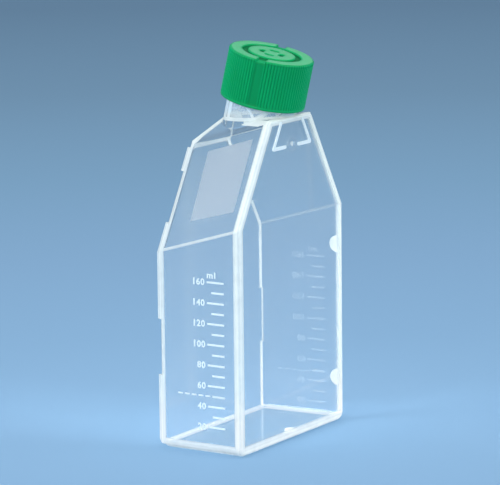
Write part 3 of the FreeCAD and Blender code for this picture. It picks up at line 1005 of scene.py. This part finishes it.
def glyph(bm, letter, x, y, width, height):
    """One plain figure or letter, scaled into a cell whose lower left corner is given."""
    curve = bpy.data.curves.new("glyph", "FONT")
    curve.body = letter
    curve.size = 10
    curve.offset = GLYPH_WEIGHT
    curve.extrude = 1
    holder = bpy.data.objects.new("glyph", curve)
    bpy.context.scene.collection.objects.link(holder)
    graph = bpy.context.evaluated_depsgraph_get()
    graph.update()
    mesh = bpy.data.meshes.new_from_object(holder.evaluated_get(graph))
    xs = [v.co.x for v in mesh.vertices]
    ys = [v.co.y for v in mesh.vertices]
    tall = height / (max(ys) - min(ys))
    wide = min(tall * GLYPH_STRETCH, width / (max(xs) - min(xs)))
    middle = Vector((x + width / 2, y + height / 2, INK_THICKNESS / 2))
    fit = Matrix.Diagonal((wide, tall, INK_THICKNESS / 2, 1))
    centre = Matrix.Translation((-(max(xs) + min(xs)) / 2, -(max(ys) + min(ys)) / 2, 0))
    mesh.transform(Matrix.Translation(middle) @ fit @ centre)
    bm.from_mesh(mesh)
    bpy.data.objects.remove(holder)
    bpy.data.meshes.remove(mesh)


def label(bm, text, side, edge, y):
    """Figures in equal cells, ending at the given edge on the reader's right (or starting there)."""
    start = edge - len(text) * CELL if side > 0 else edge
    for i, letter in enumerate(text):
        glyph(bm, letter, start + i * CELL + CELL_MARGIN, y, CELL - 2 * CELL_MARGIN, LABEL_HEIGHT)


def scale_print(name, sign, material):
    """Ticks each 10 ml, labels each 20 ml, the unit and a dashed line."""
    bm = bmesh.new()
    side = -sign           # +1 on the side at -X, where the cover is on the reader's right
    foot, rise, shift = SCALES[sign]

    def level(millilitres):
        return foot + rise * (millilitres - 20)

    def line(low, high, z, width=TICK_WIDTH):
        a, b = sorted((side * (low + shift), side * (high + shift)))
        stroke(bm, a, b, z, width)

    for value in range(20, 161, 20):
        line(*LONG_TICK, level(value))
        label(bm, str(value), side, side * (LABEL_EDGE + shift), level(value) - LABEL_HEIGHT / 2)
        if value < 160:
            line(*SHORT_TICK, level(value + 10))
    unit = side * (UNIT_EDGE + shift) - (0 if side > 0 else UNIT_WIDTH)
    for letter, place, width, height in UNIT_LETTERS:
        glyph(bm, letter, unit + place, level(160) + UNIT_RISE, width, height)
    for i in range(DASHES):
        start = DASH_START + i * DASH_PITCH
        line(start, start + DASH_LENGTH, level(20) + DASH_RISE, DASH_WIDTH)
    bmesh.ops.remove_doubles(bm, verts=bm.verts, dist=SLIVER)
    made = mesh_object(name, bm)
    made.data.transform(side_frame(sign))
    dressed(made, material, "flask")


def bracket_print():
    """White ink over the fill mark's raised brackets."""
    strokes = sum(brackets(BRACKET_INK, FRONT_Y - BRACKET_INK_LIFT, MARK_RELIEF + INK_THICKNESS), [])
    made = combine(strokes[0], strokes[1:], "UNION")
    made.name = "bracket_print"
    return made


def writing_field():
    """Frosted panel on the shoulder at -X."""
    point, normal = slant_plane
    outward = mirrored(normal)
    corners = []
    for forward, z in FIELD_CORNERS:
        x = point.x - (normal.y * (-forward - point.y) + normal.z * (z - point.z)) / normal.x
        corners.append(Vector((-x, -forward, z)) + outward * INK_LIFT)
    return prism("writing_field", corners, outward * INK_THICKNESS)


white_ink = ink("white_ink", 0.95)
scale_print("scale_print_near", -1, white_ink)
scale_print("scale_print_far", 1, ink("faint_ink", 0.1))
dressed(bracket_print(), white_ink, "flask")
dressed(writing_field(), frosting(), "flask")


# -------- stage, light and camera, in metres
FLOOR_DROP = 0.0004        # air under the flask, so that its base and the floor don't coincide
FLOOR_RADIUS = 14.0
FLOOR_COLOURS = [          # outwards from the flask
    (0.0, linear(139, 177, 209)), (0.04, linear(135, 170, 200)), (0.1, linear(129, 163, 192)),
    (0.2, linear(123, 155, 183)), (0.33, linear(114, 146, 171)), (0.53, linear(103, 131, 153)),
    (0.83, linear(91, 116, 137))]
FLOOR_COLOUR_REACH = 2.0   # distance that 1 stands for there
HORIZON = linear(97, 127, 155)
SKY_COLOURS = [            # from the horizon up
    (0.0, HORIZON), (0.2, HORIZON), (0.45, (0.26, 0.36, 0.46)), (0.75, (0.62, 0.69, 0.76)),
    (1.0, (0.88, 0.92, 0.97))]
SOFTBOXES = [              # name, direction of the light, level, width in degrees
    ("left_softbox", (-1, -0.4, 0.4), 0.4, 35),
    ("right_softbox", (0.1, -1, 0.4), 0.56, 35),
    ("back_softbox", (-0.75, 0.55, 0.5), 0.55, 25),
    ("top_sheen", (0.84, 0.33, 0.45), 0.05, 22)]
CAMERA_ANGLES = (-58.51, 9.78, -0.6)                 # azimuth, elevation and roll
CAMERA_AIM = Vector((-0.00056, 0, 0.07467))
CAMERA_DISTANCE = 1.2679
CAMERA_LENS = 238.7        # in millimetres


def floor():
    material, tree = new_material("floor_blue")
    place = add(tree, "ShaderNodeTexCoord").outputs["Object"]
    away = vector_maths(tree, "LENGTH", place, result="Value")
    colour = ramp(tree, spread(tree, away, 0.0, FLOOR_COLOUR_REACH, 0.0, 1.0), FLOOR_COLOURS)
    output(tree, bsdf(tree, "Diffuse", {"Color": colour}))
    bm = bmesh.new()
    bmesh.ops.create_circle(bm, cap_ends=True, segments=96, radius=FLOOR_RADIUS)
    made = mesh_object("floor", bm)
    made.location.z = -FLOOR_DROP
    made.data.materials.append(material)


def world():
    """A plain soft studio: bright above, and the colour of the far floor at the horizon."""
    sky = bpy.data.worlds.new("studio")
    sky.use_nodes = True
    tree = sky.node_tree
    tree.nodes.clear()
    way = add(tree, "ShaderNodeTexCoord").outputs["Generated"]
    rise = add(tree, "ShaderNodeSeparateXYZ", {0: way}).outputs[2]
    light = add(tree, "ShaderNodeBackground", {"Color": ramp(tree, rise, SKY_COLOURS)}).outputs[0]
    add(tree, "ShaderNodeOutputWorld", {"Surface": light})
    bpy.context.scene.world = sky


def softbox(name, direction, level, width):
    """A far soft light from a direction. A level of 1 lights a facing surface to its own colour."""
    data = bpy.data.lights.new(name, "SUN")
    data.energy = level * math.pi
    data.angle = math.radians(width)
    made = bpy.data.objects.new(name, data)
    made.rotation_euler = Vector(direction).to_track_quat("Z", "Y").to_euler()
    bpy.context.scene.collection.objects.link(made)


def camera():
    """The photograph's viewing angle, set by azimuth, elevation and roll about the aimed point."""
    azimuth, elevation, roll = (math.radians(angle) for angle in CAMERA_ANGLES)
    back = Vector((math.sin(azimuth) * math.cos(elevation), -math.cos(azimuth) * math.cos(elevation),
                   math.sin(elevation)))
    data = bpy.data.cameras.new("camera")
    data.lens = CAMERA_LENS
    made = bpy.data.objects.new("camera", data)
    made.location = CAMERA_AIM + back * CAMERA_DISTANCE
    made.rotation_mode = "QUATERNION"
    rolled = Matrix.Rotation(roll, 3, "Z").to_quaternion()
    made.rotation_quaternion = (-back).to_track_quat("-Z", "Y") @ rolled
    bpy.context.scene.collection.objects.link(made)
    bpy.context.scene.camera = made


floor()
world()
for lamp in SOFTBOXES:
    softbox(*lamp)
camera()
bpy.context.scene.view_settings.view_transform = "Standard"
